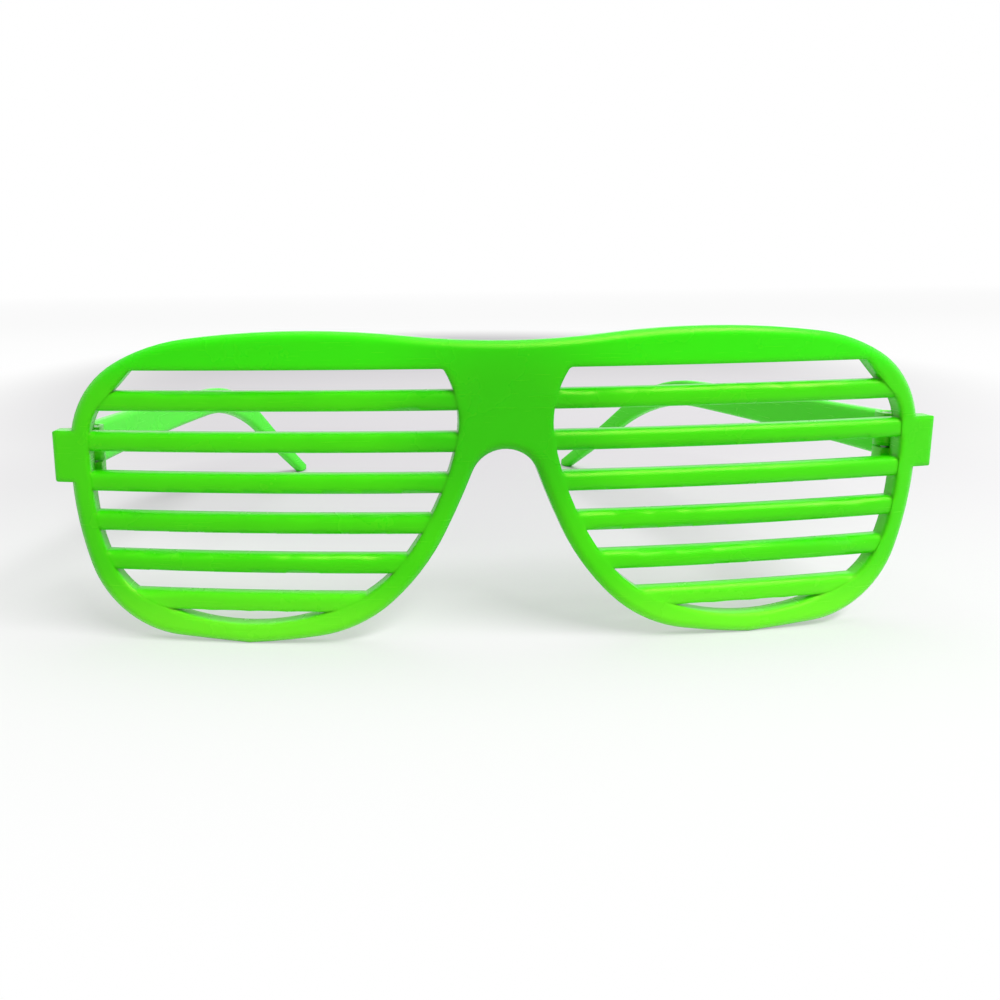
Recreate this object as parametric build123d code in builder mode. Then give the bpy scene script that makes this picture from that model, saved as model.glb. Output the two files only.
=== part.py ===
from build123d import *
import math
import os

# Slatted novelty glasses: a one-piece moulded front with a row of slats in each rim, two arms
# that fold on small screws, and the two screws. Millimetres. +X is the wearer's left, +Y runs
# back along the arms and +Z is up. The glasses stand on the rims and the tips of the arms, and
# the origin is on that surface, in the middle of the box that holds them.

# Overall sizes
front_width = 143.0
front_height = 51.9
overall_depth = 142.6

# Moulded front
front_curve_radius = 342.0
front_thickness = 3.0
rim_bevel = 0.8
rim_crown_bevel = 0.3
rim_back_bevel = 0.4
opening_corner_radius = 0.9

# Slats, set a little below the faces of the rims and let into them at both ends
slat_count = 6
slat_edge_radius = 1.0
slat_back_bevel = 0.3
slat_setback = 0.15
slat_inlet = 1.2

# Hinge blocks at the two ends of the front
block_height = 8.6
block_middle_height = 31.6
block_reach = 2.8
block_inlet = 2.9
block_outer_depth = 2.83
block_edge_radius = 0.6

# Hinge: two knuckles on the front, one on the temple, and a screw down through them
knuckle_radius = 2.1
knuckle_height = 2.5
knuckle_gap = 0.3
screw_radius = 0.8
screw_clearance = 0.05
thread_clearance = 0.02
screw_end_height = 0.3
head_radius = 1.35
head_height = 0.9
head_clearance = 0.1
head_sink = 0.15
head_edge_bevel = 0.2
driver_slot_width = 0.4
driver_slot_depth = 0.4

# Temples
temple_thickness = 2.4
temple_root_height = 8.1
temple_lower_height = 27.2
temple_upper_bend_height = 33.0
temple_gap = 0.25
temple_bow_radius = 440.0
temple_toe_in_angle = 4.5
temple_bevel = 0.45
bend_lower_radius = 60.0
bend_upper_radius = 52.0
tip_lower_angle = 33.5
tip_upper_angle = 36.3
tip_height = 1.95
tip_foot_length = 2.3
tip_edge_radius = 1.0

# How far a cut or a blank runs past what it cuts
overrun = 2.0

# Places on the front and its hinge blocks
half_front = front_width / 2
half_width = half_front + block_reach
front_y = -overall_depth / 2
curve_centre = (0, front_y + front_curve_radius)
curve_setback = front_curve_radius - math.sqrt(front_curve_radius**2 - half_width**2)
block_depth = curve_setback + block_outer_depth
block_back_y = front_y + block_depth
block_inner_x = half_front - block_inlet
block_bottom = block_middle_height - block_height / 2
block_top = block_bottom + block_height

# Places on the temple and the hinge axis
toe_in = math.radians(temple_toe_in_angle)
temple_inner_x = half_width - temple_thickness
temple_root_y = block_back_y + temple_gap
bow_centre = (
    temple_inner_x - temple_bow_radius * math.cos(toe_in),
    temple_root_y - temple_bow_radius * math.sin(toe_in),
)
bow_blank_length = overall_depth / 2 + overrun - bow_centre[1]
bow_blank_angle = math.degrees(math.asin(bow_blank_length / temple_bow_radius))
hinge_y = block_back_y + knuckle_radius + knuckle_gap
hinge_to_temple = knuckle_radius + knuckle_gap + (hinge_y - temple_root_y) * math.sin(toe_in)
hinge_x = temple_inner_x - hinge_to_temple / math.cos(toe_in)
upper_knuckle_bottom = block_top - knuckle_height
tongue_bottom = block_bottom + knuckle_height + knuckle_gap
tongue_height = block_height - 2 * (knuckle_height + knuckle_gap)
head_bottom = block_top - head_sink - head_height
screw_length = head_bottom - block_bottom - screw_end_height

# Corners of the temple's side outline, worked out from the tip
tip_y = overall_depth / 2
tip_foot_y = tip_y - tip_foot_length
lower_bend_y = tip_foot_y - temple_lower_height / math.tan(math.radians(tip_lower_angle))
upper_slope_height = temple_upper_bend_height - tip_height
upper_bend_y = tip_y - upper_slope_height / math.tan(math.radians(tip_upper_angle))

# Outlines as arcs that run on from each other, each given by its end, as a share of half the
# front's width and a share of its height. Half of the front goes from the middle of the brow
# round the rim to the lowest point, and from the top of the nose arch down to the same point.
brow_middle_share = 0.966
nose_top_share = 0.634
rim_arc_shares = [
    (0.222, 0.983),
    (0.719, 0.979),
    (0.881, 0.906),
    (0.996, 0.665),
    (0.966, 0.25),
    (0.758, 0.019),
    (0.594, 0.0),
]
nose_arc_shares = [
    (0.074, 0.564),
    (0.135, 0.37),
    (0.254, 0.146),
    (0.428, 0.027),
    (0.594, 0.0),
]

# A lens opening, from the outer end of its straight top round to the inner end
opening_start_angle = -47.9
opening_start_share = (0.842, 0.885)
opening_arc_shares = [
    (0.91, 0.788),
    (0.95, 0.667),
    (0.943, 0.401),
    (0.916, 0.266),
    (0.825, 0.137),
    (0.359, 0.135),
    (0.236, 0.27),
    (0.175, 0.401),
    (0.109, 0.661),
    (0.14, 0.885),
]

# Slats are evenly spaced from the straight top down to the top of the lowest gap
lowest_gap_top_share = 0.106
slat_share = 0.49
opening_top = front_height * opening_start_share[1]
slat_pitch = (opening_top - front_height * lowest_gap_top_share) / slat_count
slat_height = slat_pitch * slat_share
slat_middles = [opening_top - slat_pitch * (i + 1) + slat_height / 2 for i in range(slat_count)]
slat_turn = math.degrees(math.asin(half_front / front_curve_radius))


def on_front(share):
    return (half_front * share[0], front_height * share[1])


def tangent_arcs(start, direction, end_shares):
    for share in end_shares:
        arc = TangentArc(start, on_front(share), tangent=direction)
        start = arc @ 1
        direction = arc % 1


def reach(edge):
    return [math.dist((v.X, v.Y), curve_centre) for v in edge.vertices()]


def is_on_front_face(edge):
    return min(reach(edge)) > front_curve_radius - rim_crown_bevel / 2


def is_on_back_face(edge):
    return max(reach(edge)) < front_curve_radius - front_thickness + rim_back_bevel / 2


def is_long_temple_edge(edge):
    ends = [math.dist((v.X, v.Y), bow_centre) for v in edge.vertices()]
    return edge.center().Y > temple_root_y + temple_bevel and max(ends) - min(ends) < temple_bevel


# The front's face, drawn as its wearer's left half and mirrored
with BuildSketch(Plane.XZ) as outline:
    with BuildLine():
        tangent_arcs(on_front((0, brow_middle_share)), Vector(1, 0), rim_arc_shares)
        tangent_arcs(on_front((0, nose_top_share)), Vector(1, 0), nose_arc_shares)
        Line(on_front((0, brow_middle_share)), on_front((0, nose_top_share)))
    make_face()
    mirror(about=Plane.YZ)

# The left lens opening, with rounded corners at its straight top
with BuildSketch(Plane.XZ) as opening:
    with BuildLine():
        start_direction = Vector(1, 0).rotate(Axis.Z, opening_start_angle)
        tangent_arcs(on_front(opening_start_share), start_direction, opening_arc_shares)
        Line(on_front(opening_arc_shares[-1]), on_front(opening_start_share))
    make_face()
    fillet(opening.vertices().sort_by(Axis.Y)[-2:], radius=opening_corner_radius)

# The slats of the left lens: bars with rounded fronts, bent to the front's curve and cut to
# the opening and what is let into the rim
with BuildSketch(Plane.XZ) as slat_field:
    add(opening.sketch_local)
    offset(amount=slat_inlet)

with BuildPart() as slats:
    with BuildSketch(Plane.YZ) as slat_profiles:
        with Locations(*[(front_y + front_thickness / 2, z) for z in slat_middles]):
            Rectangle(front_thickness - 2 * slat_setback, slat_height)
        fillet(slat_profiles.vertices().group_by(Axis.X)[0], radius=slat_edge_radius)
        chamfer(slat_profiles.vertices().group_by(Axis.X)[-1], length=slat_back_bevel)
    revolve(axis=Axis((*curve_centre, 0), (0, 0, 1)), revolution_arc=slat_turn)
    extrude(slat_field.sketch, amount=overall_depth / 2 + overrun, mode=Mode.INTERSECT)

# End block, flush with the curved front, with rounded outer edges
with BuildPart() as end_block:
    with BuildSketch(Plane.XY.offset(block_bottom)):
        with Locations(((block_inner_x + half_width) / 2, front_y + block_depth / 2)):
            Rectangle(half_width - block_inner_x, block_depth)
        with Locations(curve_centre):
            Circle(front_curve_radius, mode=Mode.INTERSECT)
    extrude(amount=block_height)
    fillet(end_block.faces().sort_by(Axis.X)[-1].edges(), radius=block_edge_radius)

# The front's two hinge knuckles, on the back of the end block, bored for the screw
with BuildPart() as end_knuckles:
    with BuildSketch(Plane.XY.offset(block_bottom), Plane.XY.offset(upper_knuckle_bottom)):
        with Locations((hinge_x, hinge_y)):
            Circle(knuckle_radius)
        with Locations((hinge_x, (block_back_y + hinge_y) / 2)):
            Rectangle(2 * knuckle_radius, hinge_y - block_back_y)
    extrude(amount=knuckle_height)
    with Locations((hinge_x, hinge_y, block_top)):
        CounterBoreHole(screw_radius + thread_clearance, head_radius + head_clearance,
                        head_height + head_sink)

# The moulded front: the outline cut from a curved plate, its outer edge rounded off by two
# bevels at the front and one at the back, then the openings, and what each side carries
with BuildPart() as front_frame:
    with BuildSketch(Plane.XY.offset(-overrun)):
        with Locations(curve_centre):
            Circle(front_curve_radius)
            Circle(front_curve_radius - front_thickness, mode=Mode.SUBTRACT)
    extrude(amount=front_height + 2 * overrun)
    extrude(outline.sketch, amount=overall_depth / 2 + overrun, mode=Mode.INTERSECT)
    for bevel in (rim_bevel, rim_crown_bevel):
        chamfer(front_frame.edges().filter_by(is_on_front_face).sort_by(Axis.X), length=bevel)
    chamfer(front_frame.edges().filter_by(is_on_back_face).sort_by(Axis.X), length=rim_back_bevel)
    extrude(opening.sketch, amount=overall_depth / 2 + overrun, mode=Mode.SUBTRACT)
    extrude(mirror(opening.sketch, about=Plane.YZ, mode=Mode.PRIVATE),
            amount=overall_depth / 2 + overrun, mode=Mode.SUBTRACT)
    for side_part in (slats.part, end_block.part, end_knuckles.part):
        add(side_part)
        mirror(side_part, about=Plane.YZ)

# Temple outline from the side: straight to the ear, bent down to the floor, with a short flat
# foot under the tip
with BuildSketch(Plane.YZ) as temple_outline:
    with BuildLine():
        Polyline(
            (tip_y, 0),
            (tip_foot_y, 0),
            (lower_bend_y, temple_lower_height),
            (temple_root_y, temple_lower_height),
            (temple_root_y, temple_lower_height + temple_root_height),
            (upper_bend_y, temple_upper_bend_height),
            (tip_y, tip_height),
            close=True,
        )
    make_face()
    lower_bend = temple_outline.vertices().sort_by_distance((lower_bend_y, temple_lower_height))[0]
    fillet(lower_bend, radius=bend_lower_radius)
    upper_bend = temple_outline.vertices().sort_by_distance((upper_bend_y, temple_upper_bend_height))[0]
    fillet(upper_bend, radius=bend_upper_radius)

# Temple: a strip that bows in towards the tip, cut to the side outline, its long edges bevelled
# and its tip rounded, with the knuckle that sits between the front's two
with BuildPart() as temple_left:
    with BuildSketch():
        with BuildLine():
            inner_face = CenterArc(bow_centre, temple_bow_radius, 0, bow_blank_angle)
            outer_face = CenterArc(bow_centre, temple_bow_radius + temple_thickness, 0,
                                   bow_blank_angle)
            Line(inner_face @ 0, outer_face @ 0)
            Line(inner_face @ 1, outer_face @ 1)
        make_face()
    extrude(amount=front_height)
    extrude(temple_outline.sketch, amount=half_width + overrun, mode=Mode.INTERSECT)
    chamfer(temple_left.edges().filter_by(is_long_temple_edge).sort_by(Axis.Y),
            length=temple_bevel)
    tip_edges = temple_left.faces().sort_by(Axis.Y)[-1].edges().sort_by(Axis.Z)
    fillet([tip_edges[0], tip_edges[-1]], radius=tip_edge_radius)
    with BuildSketch(Plane.XY.offset(tongue_bottom)):
        with Locations((hinge_x, hinge_y)):
            Circle(knuckle_radius)
        with Locations(((hinge_x + temple_inner_x + temple_bevel) / 2, hinge_y)):
            Rectangle(temple_inner_x + temple_bevel - hinge_x, 2 * knuckle_radius)
    extrude(amount=tongue_height)
    with Locations((hinge_x, hinge_y, tongue_bottom + tongue_height)):
        Hole(screw_radius + screw_clearance)

with BuildPart() as temple_right:
    mirror(temple_left.part, about=Plane.YZ)

# Hinge screw: a round head with a driver slot, sunk in the upper knuckle
with BuildPart() as hinge_screw_left:
    with BuildSketch(Plane.XY.offset(block_bottom + screw_end_height)):
        with Locations((hinge_x, hinge_y)):
            Circle(screw_radius)
    extrude(amount=screw_length)
    chamfer(hinge_screw_left.edges().sort_by(Axis.Z)[0], length=screw_end_height)
    with BuildSketch(Plane.XY.offset(head_bottom)):
        with Locations((hinge_x, hinge_y)):
            Circle(head_radius)
    extrude(amount=head_height)
    chamfer(hinge_screw_left.edges().sort_by(Axis.Z)[-1], length=head_edge_bevel)
    with BuildSketch(Plane.XY.offset(head_bottom + head_height)):
        with Locations((hinge_x, hinge_y)):
            Rectangle(2 * head_radius, driver_slot_width)
    extrude(amount=-driver_slot_depth, mode=Mode.SUBTRACT)

with BuildPart() as hinge_screw_right:
    mirror(hinge_screw_left.part, about=Plane.YZ)

pieces = {
    "front_frame": front_frame,
    "temple_left": temple_left,
    "temple_right": temple_right,
    "hinge_screw_left": hinge_screw_left,
    "hinge_screw_right": hinge_screw_right,
}
os.makedirs("parts", exist_ok=True)
for name, piece in pieces.items():
    piece.part.label = name
    export_step(piece.part, f"parts/{name}.step")
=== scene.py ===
import math

import bpy
from mathutils import Matrix, Vector


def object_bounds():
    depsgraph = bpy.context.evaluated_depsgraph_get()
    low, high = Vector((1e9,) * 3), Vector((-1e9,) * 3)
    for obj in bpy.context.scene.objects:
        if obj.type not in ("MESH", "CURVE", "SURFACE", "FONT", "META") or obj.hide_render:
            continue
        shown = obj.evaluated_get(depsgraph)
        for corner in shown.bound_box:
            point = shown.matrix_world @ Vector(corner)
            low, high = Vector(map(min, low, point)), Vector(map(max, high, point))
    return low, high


# Slatted novelty glasses: glossy lime green plastic, steel hinge screws, a pale floor. Metres,
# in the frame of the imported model: the front faces -Y and the arms run back along +Y.

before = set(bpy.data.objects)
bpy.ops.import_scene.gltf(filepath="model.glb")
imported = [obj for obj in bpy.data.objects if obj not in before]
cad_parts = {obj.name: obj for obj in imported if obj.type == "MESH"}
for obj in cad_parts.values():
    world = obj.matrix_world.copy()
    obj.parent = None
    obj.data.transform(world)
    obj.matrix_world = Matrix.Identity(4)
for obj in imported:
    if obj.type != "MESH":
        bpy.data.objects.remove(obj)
cad_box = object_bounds()
front_y = cad_box[0][1]
top = cad_box[1][2]

# Where the plastic's tone changes: painted shade round the bridge, a purer green along the brow,
# painted light from the floor along the lower rims and painted light on the arms from their roots back
bridge_height = 0.693 * top
bridge_shade_core_radius = 0.115 * top
bridge_shade_reach = 0.5 * top
brow_start = 0.808 * top
brow_full = 0.924 * top
lower_rim_top = 0.27 * top
arm_root_setback = 0.0113
arm_fade_length = 0.004
arms_start = front_y + arm_root_setback
arms_full = arms_start + arm_fade_length

# Colours of the plastic, the steel and the floor
lime = (0.034, 0.65, 0.001, 1)
lime_drifted = (0.044, 0.70, 0.002, 1)
brow_lime = (0.012, 0.735, 0.001, 1)
# painted shade: the bridge is darker where the gloss would reflect the darker room
bridge_painted_shade_lime = (0.009, 0.52, 0.001, 1)
# painted light from the floor on the lower rims
lower_rim_painted_light_lime = (0.16, 0.90, 0.018, 1)
# painted light on the arms, in place of light let through the thin plastic
arm_painted_light_lime = (0.035, 0.86, 0.002, 1)
gloss_tint = (1.0, 0.9, 0.22, 1)
steel = (0.56, 0.56, 0.57, 1)
steel_drifted = (0.44, 0.44, 0.45, 1)
paper = (0.70, 0.70, 0.70, 1)
near_shade = (0.62, 0.605, 0.625, 1)
far_shade = (0.72, 0.705, 0.725, 1)
white = (1, 1, 1, 1)
middle_grey = (0.5, 0.5, 0.5, 1)

# Levels of the room: what lights the glasses, and what shows behind them
room_light = 0.39
shown_white = 1.0

# Camera: a little left of the middle and above, turned and shifted as the photograph frames it
camera_place = (-0.02286, -0.21139, 0.06002)
camera_yaw = -0.0261
camera_pitch = 0.1863
camera_roll = -0.0132
lens_mm = 32.4
sensor_mm = 36.0
shift_right = 0.1143
shift_up = -0.0523


# Node helpers

def new_group(name, inputs, outputs):
    """An empty shader group with its named sockets."""
    group = bpy.data.node_groups.new(name, "ShaderNodeTree")
    for socket, kind, value in inputs:
        made = group.interface.new_socket(socket, in_out="INPUT", socket_type=kind)
        made.default_value = value
    for socket, kind in outputs:
        group.interface.new_socket(socket, in_out="OUTPUT", socket_type=kind)
    return group, group.nodes.new("NodeGroupInput"), group.nodes.new("NodeGroupOutput")


def use_group(tree, group, **values):
    """Places a shared effect. In a socket's name an underscore stands for a space."""
    made = node(tree, "ShaderNodeGroup", node_tree=group)
    for socket, value in values.items():
        feed(tree, made, socket.replace("_", " "), value)
    return made


def node(tree, kind, **settings):
    made = tree.nodes.new(kind)
    for key, value in settings.items():
        setattr(made, key, value)
    return made


def feed(tree, target, socket, source):
    """Puts a number, a colour or another node's output into a socket."""
    if isinstance(source, bpy.types.NodeSocket):
        tree.links.new(source, target.inputs[socket])
    else:
        target.inputs[socket].default_value = source


def sums(tree, operation, first, second=0.0, third=0.0):
    made = node(tree, "ShaderNodeMath", operation=operation)
    feed(tree, made, 0, first)
    feed(tree, made, 1, second)
    feed(tree, made, 2, third)
    return made.outputs[0]


def length_of(tree, vector):
    made = node(tree, "ShaderNodeVectorMath", operation="LENGTH")
    feed(tree, made, 0, vector)
    return made.outputs["Value"]


def noise(tree, place, scale, detail):
    made = node(tree, "ShaderNodeTexNoise")
    feed(tree, made, "Vector", place)
    feed(tree, made, "Scale", scale)
    feed(tree, made, "Detail", detail)
    return made.outputs["Fac"]


def fade(tree, value, low, high, start=0.0, end=1.0):
    """Goes smoothly from start to end as the value goes from low to high."""
    made = node(tree, "ShaderNodeMapRange", interpolation_type="SMOOTHSTEP")
    feed(tree, made, "Value", value)
    feed(tree, made, "From Min", low)
    feed(tree, made, "From Max", high)
    feed(tree, made, "To Min", start)
    feed(tree, made, "To Max", end)
    return made.outputs["Result"]


def blend_colours(tree, share, first, second):
    """Mixes two colours, which are inputs 6 and 7 and output 2 of the node."""
    made = node(tree, "ShaderNodeMix", data_type="RGBA")
    feed(tree, made, 0, share)
    feed(tree, made, 6, first)
    feed(tree, made, 7, second)
    return made.outputs[2]


def bump(tree, height, strength, depth):
    made = tree.nodes.new("ShaderNodeBump")
    feed(tree, made, "Strength", strength)
    feed(tree, made, "Distance", depth)
    feed(tree, made, "Height", height)
    return made


def place_on_object(tree):
    return node(tree, "ShaderNodeTexCoord").outputs["Object"]


def split(tree, place):
    made = node(tree, "ShaderNodeSeparateXYZ")
    feed(tree, made, 0, place)
    return made.outputs["X"], made.outputs["Y"], made.outputs["Z"]


def bare_material(name):
    material = bpy.data.materials.new(name)
    material.use_nodes = True
    tree = material.node_tree
    tree.nodes.clear()
    out = tree.nodes.new("ShaderNodeOutputMaterial")
    return material, tree, out


# Shared effects

def pigment_drift_group():
    """Colour that drifts softly between two tones, as pigment does in moulded plastic."""
    tree, given, out = new_group(
        "Pigment drift",
        [("Colour", "NodeSocketColor", middle_grey),
         ("Second Colour", "NodeSocketColor", middle_grey),
         ("Patch Scale", "NodeSocketFloat", 40.0)],
        [("Colour", "NodeSocketColor")])
    patches = noise(tree, place_on_object(tree), given.outputs["Patch Scale"], detail=3.0)
    share = fade(tree, patches, low=0.35, high=0.7)
    mixed = blend_colours(tree, share, given.outputs["Colour"], given.outputs["Second Colour"])
    feed(tree, out, "Colour", mixed)
    return tree


def stretched_place(tree, place, turn, stretch):
    made = node(tree, "ShaderNodeMapping")
    feed(tree, made, "Vector", place)
    feed(tree, made, "Rotation", turn)
    feed(tree, made, "Scale", stretch)
    return made.outputs["Vector"]


def handled_gloss_group():
    """Gloss broken by faint smears and fine scratches, and the height of a moulded skin's
    slow ripple and fine grain."""
    tree, given, out = new_group(
        "Handled gloss",
        [("Roughness", "NodeSocketFloat", 0.2),
         ("Smear", "NodeSocketFloat", 0.1),
         ("Scratch", "NodeSocketFloat", 0.1),
         ("Grain Scale", "NodeSocketFloat", 900.0)],
        [("Roughness", "NodeSocketFloat"), ("Height", "NodeSocketFloat")])
    place = place_on_object(tree)
    smears = fade(tree, noise(tree, place, scale=90.0, detail=4.0), low=0.4, high=0.75)
    along_scratches = stretched_place(tree, place, turn=(0.2, 0.3, 0.5), stretch=(1.0, 1.0, 30.0))
    scratches = fade(tree, noise(tree, along_scratches, scale=120.0, detail=5.0), low=0.62, high=0.72)
    rough = sums(tree, "MULTIPLY_ADD", smears, given.outputs["Smear"], given.outputs["Roughness"])
    rough = sums(tree, "MULTIPLY_ADD", scratches, given.outputs["Scratch"], rough)
    ripple = noise(tree, place, scale=150.0, detail=1.0)
    ripple_share = 0.2
    grain = noise(tree, place, given.outputs["Grain Scale"], detail=2.0)
    grain_share = 0.25
    height = sums(tree, "MULTIPLY_ADD", ripple, ripple_share,
                  sums(tree, "MULTIPLY", grain, grain_share))
    feed(tree, out, "Roughness", rough)
    feed(tree, out, "Height", height)
    return tree


pigment_drift = pigment_drift_group()
handled_gloss = handled_gloss_group()


# Finishes of the glasses

def lime_tone(tree):
    """The plastic's colour: deeper round the bridge, a painted shade; pure along the brow; lighter
    along the lower rims, painted light from the floor; lighter on the thin arms, painted light in
    place of light let through them."""
    x, y, z = split(tree, place_on_object(tree))
    # painted shade round the bridge: the colour goes darker towards the bridge's middle
    from_bridge = node(tree, "ShaderNodeCombineXYZ")
    feed(tree, from_bridge, "X", x)
    feed(tree, from_bridge, "Y", sums(tree, "SUBTRACT", z, bridge_height))
    bridge = fade(tree, length_of(tree, from_bridge.outputs[0]), bridge_shade_core_radius, bridge_shade_reach,
                  start=1.0, end=0.0)
    brow = fade(tree, z, brow_start, brow_full)
    # painted light from the floor: lighter towards the bottom of the lower rims
    lower_rim_painted_light = fade(tree, z, 0.0, lower_rim_top, start=1.0, end=0.0)
    # painted light on the arms, from a little behind their roots back
    arms = fade(tree, y, arms_start, arms_full)
    tint = use_group(tree, pigment_drift, Colour=lime, Second_Colour=lime_drifted, Patch_Scale=35.0)
    tone = blend_colours(tree, brow, tint.outputs["Colour"], brow_lime)
    tone = blend_colours(tree, bridge, tone, bridge_painted_shade_lime)
    tone = blend_colours(tree, lower_rim_painted_light, tone, lower_rim_painted_light_lime)
    return blend_colours(tree, arms, tone, arm_painted_light_lime)


def lime_plastic():
    """Cheap glossy injection-moulded plastic in fluorescent lime, its edges slightly softened
    and a little light passing through it."""
    material, tree, out = bare_material("Lime plastic")
    gloss = use_group(tree, handled_gloss, Roughness=0.24, Smear=0.06, Scratch=0.08,
                      Grain_Scale=1400.0)
    soft_edges = node(tree, "ShaderNodeBevel", samples=6)
    feed(tree, soft_edges, "Radius", 0.0014)
    skin = bump(tree, gloss.outputs["Height"], strength=0.07, depth=0.0002)
    feed(tree, skin, "Normal", soft_edges.outputs["Normal"])
    shader = tree.nodes.new("ShaderNodeBsdfPrincipled")
    feed(tree, shader, "Base Color", lime_tone(tree))
    feed(tree, shader, "Roughness", gloss.outputs["Roughness"])
    feed(tree, shader, "Normal", skin.outputs["Normal"])
    feed(tree, shader, "Specular IOR Level", 0.46)
    feed(tree, shader, "Specular Tint", gloss_tint)
    feed(tree, shader, "Subsurface Weight", 0.4)
    feed(tree, shader, "Subsurface Radius", (0.6, 1.0, 0.2))
    feed(tree, shader, "Subsurface Scale", 0.0015)
    feed(tree, out, "Surface", shader.outputs["BSDF"])
    return material


def screw_steel():
    """Plain bright steel with fine marks of making and handling."""
    material, tree, out = bare_material("Screw steel")
    tint = use_group(tree, pigment_drift, Colour=steel, Second_Colour=steel_drifted,
                     Patch_Scale=900.0)
    gloss = use_group(tree, handled_gloss, Roughness=0.28, Smear=0.15, Scratch=0.2,
                      Grain_Scale=4000.0)
    skin = bump(tree, gloss.outputs["Height"], strength=0.25, depth=0.00005)
    shader = tree.nodes.new("ShaderNodeBsdfPrincipled")
    feed(tree, shader, "Base Color", tint.outputs["Colour"])
    feed(tree, shader, "Metallic", 1.0)
    feed(tree, shader, "Roughness", gloss.outputs["Roughness"])
    feed(tree, shader, "Normal", skin.outputs["Normal"])
    feed(tree, out, "Surface", shader.outputs["BSDF"])
    return material


def dress(names, material):
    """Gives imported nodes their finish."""
    for name in names:
        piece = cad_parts[name]
        piece.data.materials.clear()
        piece.data.materials.append(material)


dress(("front_frame", "temple_left", "temple_right"), lime_plastic())
dress(("hinge_screw_left", "hinge_screw_right"), screw_steel())


# Floor

def seen_directly(tree):
    """1 for rays from the camera, or reflected or sent through by a clear surface."""
    path = tree.nodes.new("ShaderNodeLightPath")
    direct = sums(tree, "MAXIMUM", path.outputs["Is Camera Ray"], path.outputs["Is Glossy Ray"])
    return sums(tree, "MAXIMUM", direct, path.outputs["Is Transmission Ray"])


def soft_oval(tree, place, middle, turn, half_length_x, half_length_y):
    """1 in the middle of an oval on the floor, fading to 0 a little outside its edge."""
    inside = node(tree, "ShaderNodeMapping", vector_type="TEXTURE")
    feed(tree, inside, "Vector", place)
    feed(tree, inside, "Location", (*middle, 0.0))
    feed(tree, inside, "Rotation", (0.0, 0.0, turn))
    feed(tree, inside, "Scale", (half_length_x, half_length_y, 1.0))
    return fade(tree, length_of(tree, inside.outputs["Vector"]), low=0.6, high=1.2, start=1.0, end=0.0)


def shade_behind_front(tree, place):
    """The two soft ovals of shade: between the arms, and on the open floor behind them."""
    between_arms = soft_oval(tree, place, middle=(0.01, 0.055), turn=0.0,
                             half_length_x=0.13, half_length_y=0.105)
    behind_arms = soft_oval(tree, place, middle=(0.045, 0.36), turn=-0.1,
                            half_length_x=0.27, half_length_y=0.42)
    return sums(tree, "MAXIMUM", between_arms, behind_arms)


def matt_paper(tree, place, y, shade):
    tone = blend_colours(tree, fade(tree, y, low=0.05, high=0.3), near_shade, far_shade)
    fibres = bump(tree, noise(tree, place, scale=700.0, detail=3.0), strength=0.05, depth=0.0001)
    made = node(tree, "ShaderNodeBsdfDiffuse")
    feed(tree, made, "Color", blend_colours(tree, shade, paper, tone))
    feed(tree, made, "Normal", fibres.outputs["Normal"])
    return made


def white_out(tree, y):
    """Plain white, a touch dimmer a metre or two behind the glasses."""
    dim = 0.045
    dimmer = sums(tree, "MULTIPLY", fade(tree, y, low=0.3, high=1.2),
                  fade(tree, y, low=1.2, high=4.0, start=1.0, end=0.0))
    made = node(tree, "ShaderNodeEmission")
    feed(tree, made, "Color", white)
    feed(tree, made, "Strength", sums(tree, "MULTIPLY_ADD", dimmer, -dim, shown_white))
    return made


def white_share(tree, place, shade):
    """How much of the white shows where the floor is seen directly: half of it near the
    glasses, so that their shadow stays, none in the shade behind them, all of it further out."""
    depth_counts_double = (1.0, 2.0, 1.0)
    squeezed = node(tree, "ShaderNodeVectorMath", operation="MULTIPLY")
    feed(tree, squeezed, 0, place)
    feed(tree, squeezed, 1, depth_counts_double)
    outward = fade(tree, length_of(tree, squeezed.outputs["Vector"]), low=0.14, high=0.3, start=0.5)
    lit = sums(tree, "MULTIPLY", outward, sums(tree, "SUBTRACT", 1.0, shade))
    return sums(tree, "MULTIPLY", lit, seen_directly(tree))


def floor_paper():
    """Pale paper in a white room, in soft shade between the arms and behind them."""
    material, tree, out = bare_material("Floor paper")
    place = place_on_object(tree)
    y = split(tree, place)[1]
    shade = shade_behind_front(tree, place)
    mixed = tree.nodes.new("ShaderNodeMixShader")
    feed(tree, mixed, 0, white_share(tree, place, shade))
    feed(tree, mixed, 1, matt_paper(tree, place, y, shade).outputs["BSDF"])
    feed(tree, mixed, 2, white_out(tree, y).outputs["Emission"])
    feed(tree, out, "Surface", mixed.outputs["Shader"])
    return material


def floor():
    reach = 6.0
    corners = [(-reach, -reach, 0), (reach, -reach, 0), (reach, reach, 0), (-reach, reach, 0)]
    mesh = bpy.data.meshes.new("floor")
    mesh.from_pydata(corners, [], [(0, 1, 2, 3)])
    mesh.materials.append(floor_paper())
    made = bpy.data.objects.new("floor", mesh)
    bpy.context.scene.collection.objects.link(made)


# Room and lights

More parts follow.
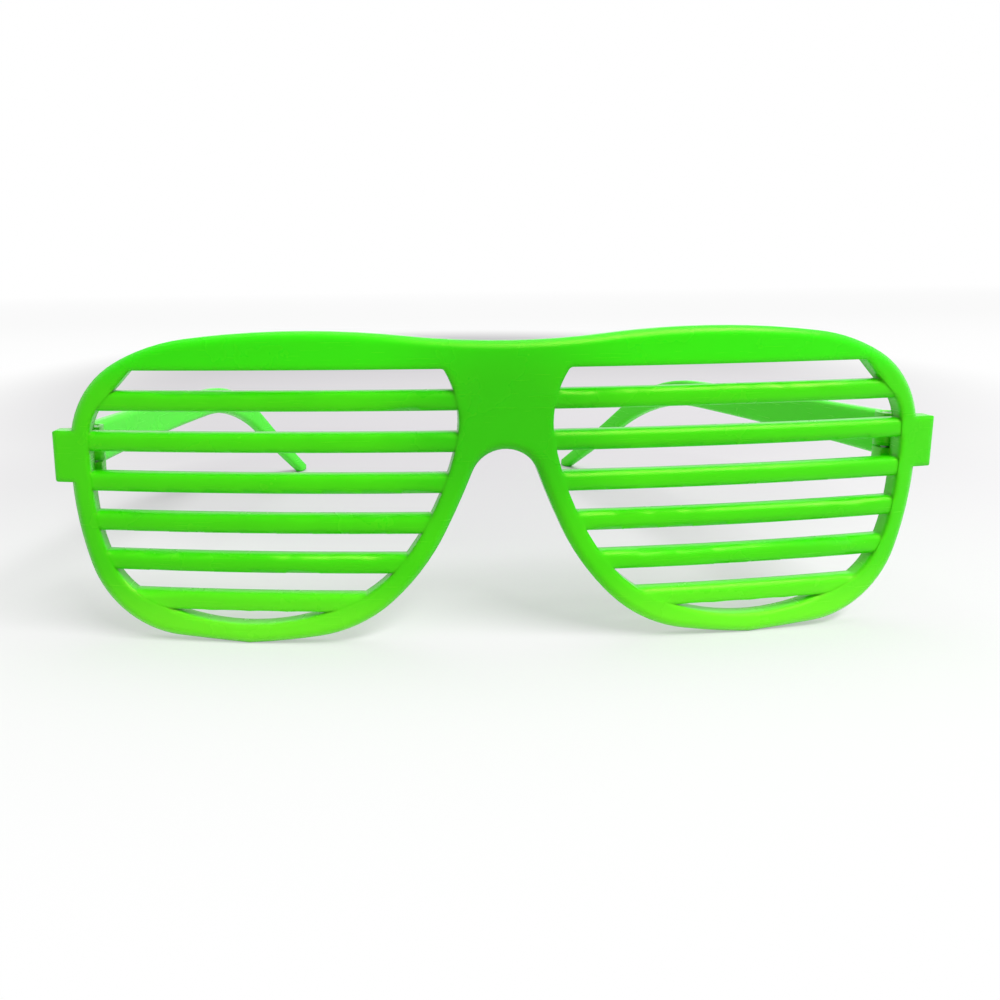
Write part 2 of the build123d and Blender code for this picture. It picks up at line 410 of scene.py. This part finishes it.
def room():
    """A white room, which lights the glasses at a lower level than it shows."""
    world = bpy.data.worlds.new("Room")
    bpy.context.scene.world = world
    world.use_nodes = True
    tree = world.node_tree
    tree.nodes.clear()
    strength = node(tree, "ShaderNodeMapRange")
    feed(tree, strength, "Value", seen_directly(tree))
    feed(tree, strength, "To Min", room_light)
    feed(tree, strength, "To Max", shown_white)
    wall = tree.nodes.new("ShaderNodeBackground")
    feed(tree, wall, "Color", white)
    feed(tree, wall, "Strength", strength.outputs["Result"])
    out = tree.nodes.new("ShaderNodeOutputWorld")
    feed(tree, out, "Surface", wall.outputs["Background"])


def soft_light(name, place, aim, width, height, power):
    lamp = bpy.data.lights.new(name, "AREA")
    lamp.shape = "RECTANGLE"
    lamp.size = width
    lamp.size_y = height
    lamp.energy = power
    made = bpy.data.objects.new(name, lamp)
    bpy.context.scene.collection.objects.link(made)
    made.location = place
    made.rotation_mode = "QUATERNION"
    made.rotation_quaternion = (Vector(aim) - Vector(place)).to_track_quat("-Z", "Y")


def camera():
    right = Vector((math.cos(camera_yaw), math.sin(camera_yaw), 0))
    ahead = Vector((-math.sin(camera_yaw) * math.cos(camera_pitch),
                    math.cos(camera_yaw) * math.cos(camera_pitch),
                    -math.sin(camera_pitch)))
    up = right.cross(ahead)
    turned_right = right * math.cos(camera_roll) + up * math.sin(camera_roll)
    turned_up = up * math.cos(camera_roll) - right * math.sin(camera_roll)
    lens = bpy.data.cameras.new("camera")
    lens.lens = lens_mm
    lens.sensor_width = sensor_mm
    lens.shift_x = shift_right
    lens.shift_y = shift_up
    lens.clip_start = 0.01
    made = bpy.data.objects.new("camera", lens)
    bpy.context.scene.collection.objects.link(made)
    axes = Matrix((turned_right, turned_up, -ahead)).transposed()
    made.matrix_world = Matrix.Translation(camera_place) @ axes.to_4x4()
    bpy.context.scene.camera = made


floor()
room()
soft_light("ceiling box", place=(0.05, 0.05, 0.9), aim=(0.0, -0.02, 0.0),
           width=0.9, height=0.7, power=3.2)
soft_light("key box", place=(0.38, -0.48, 0.74), aim=(0.0, -0.06, 0.03),
           width=0.7, height=0.16, power=7.8)
camera()
bpy.context.scene.view_settings.view_transform = "Standard"

bpy.context.view_layer.update()
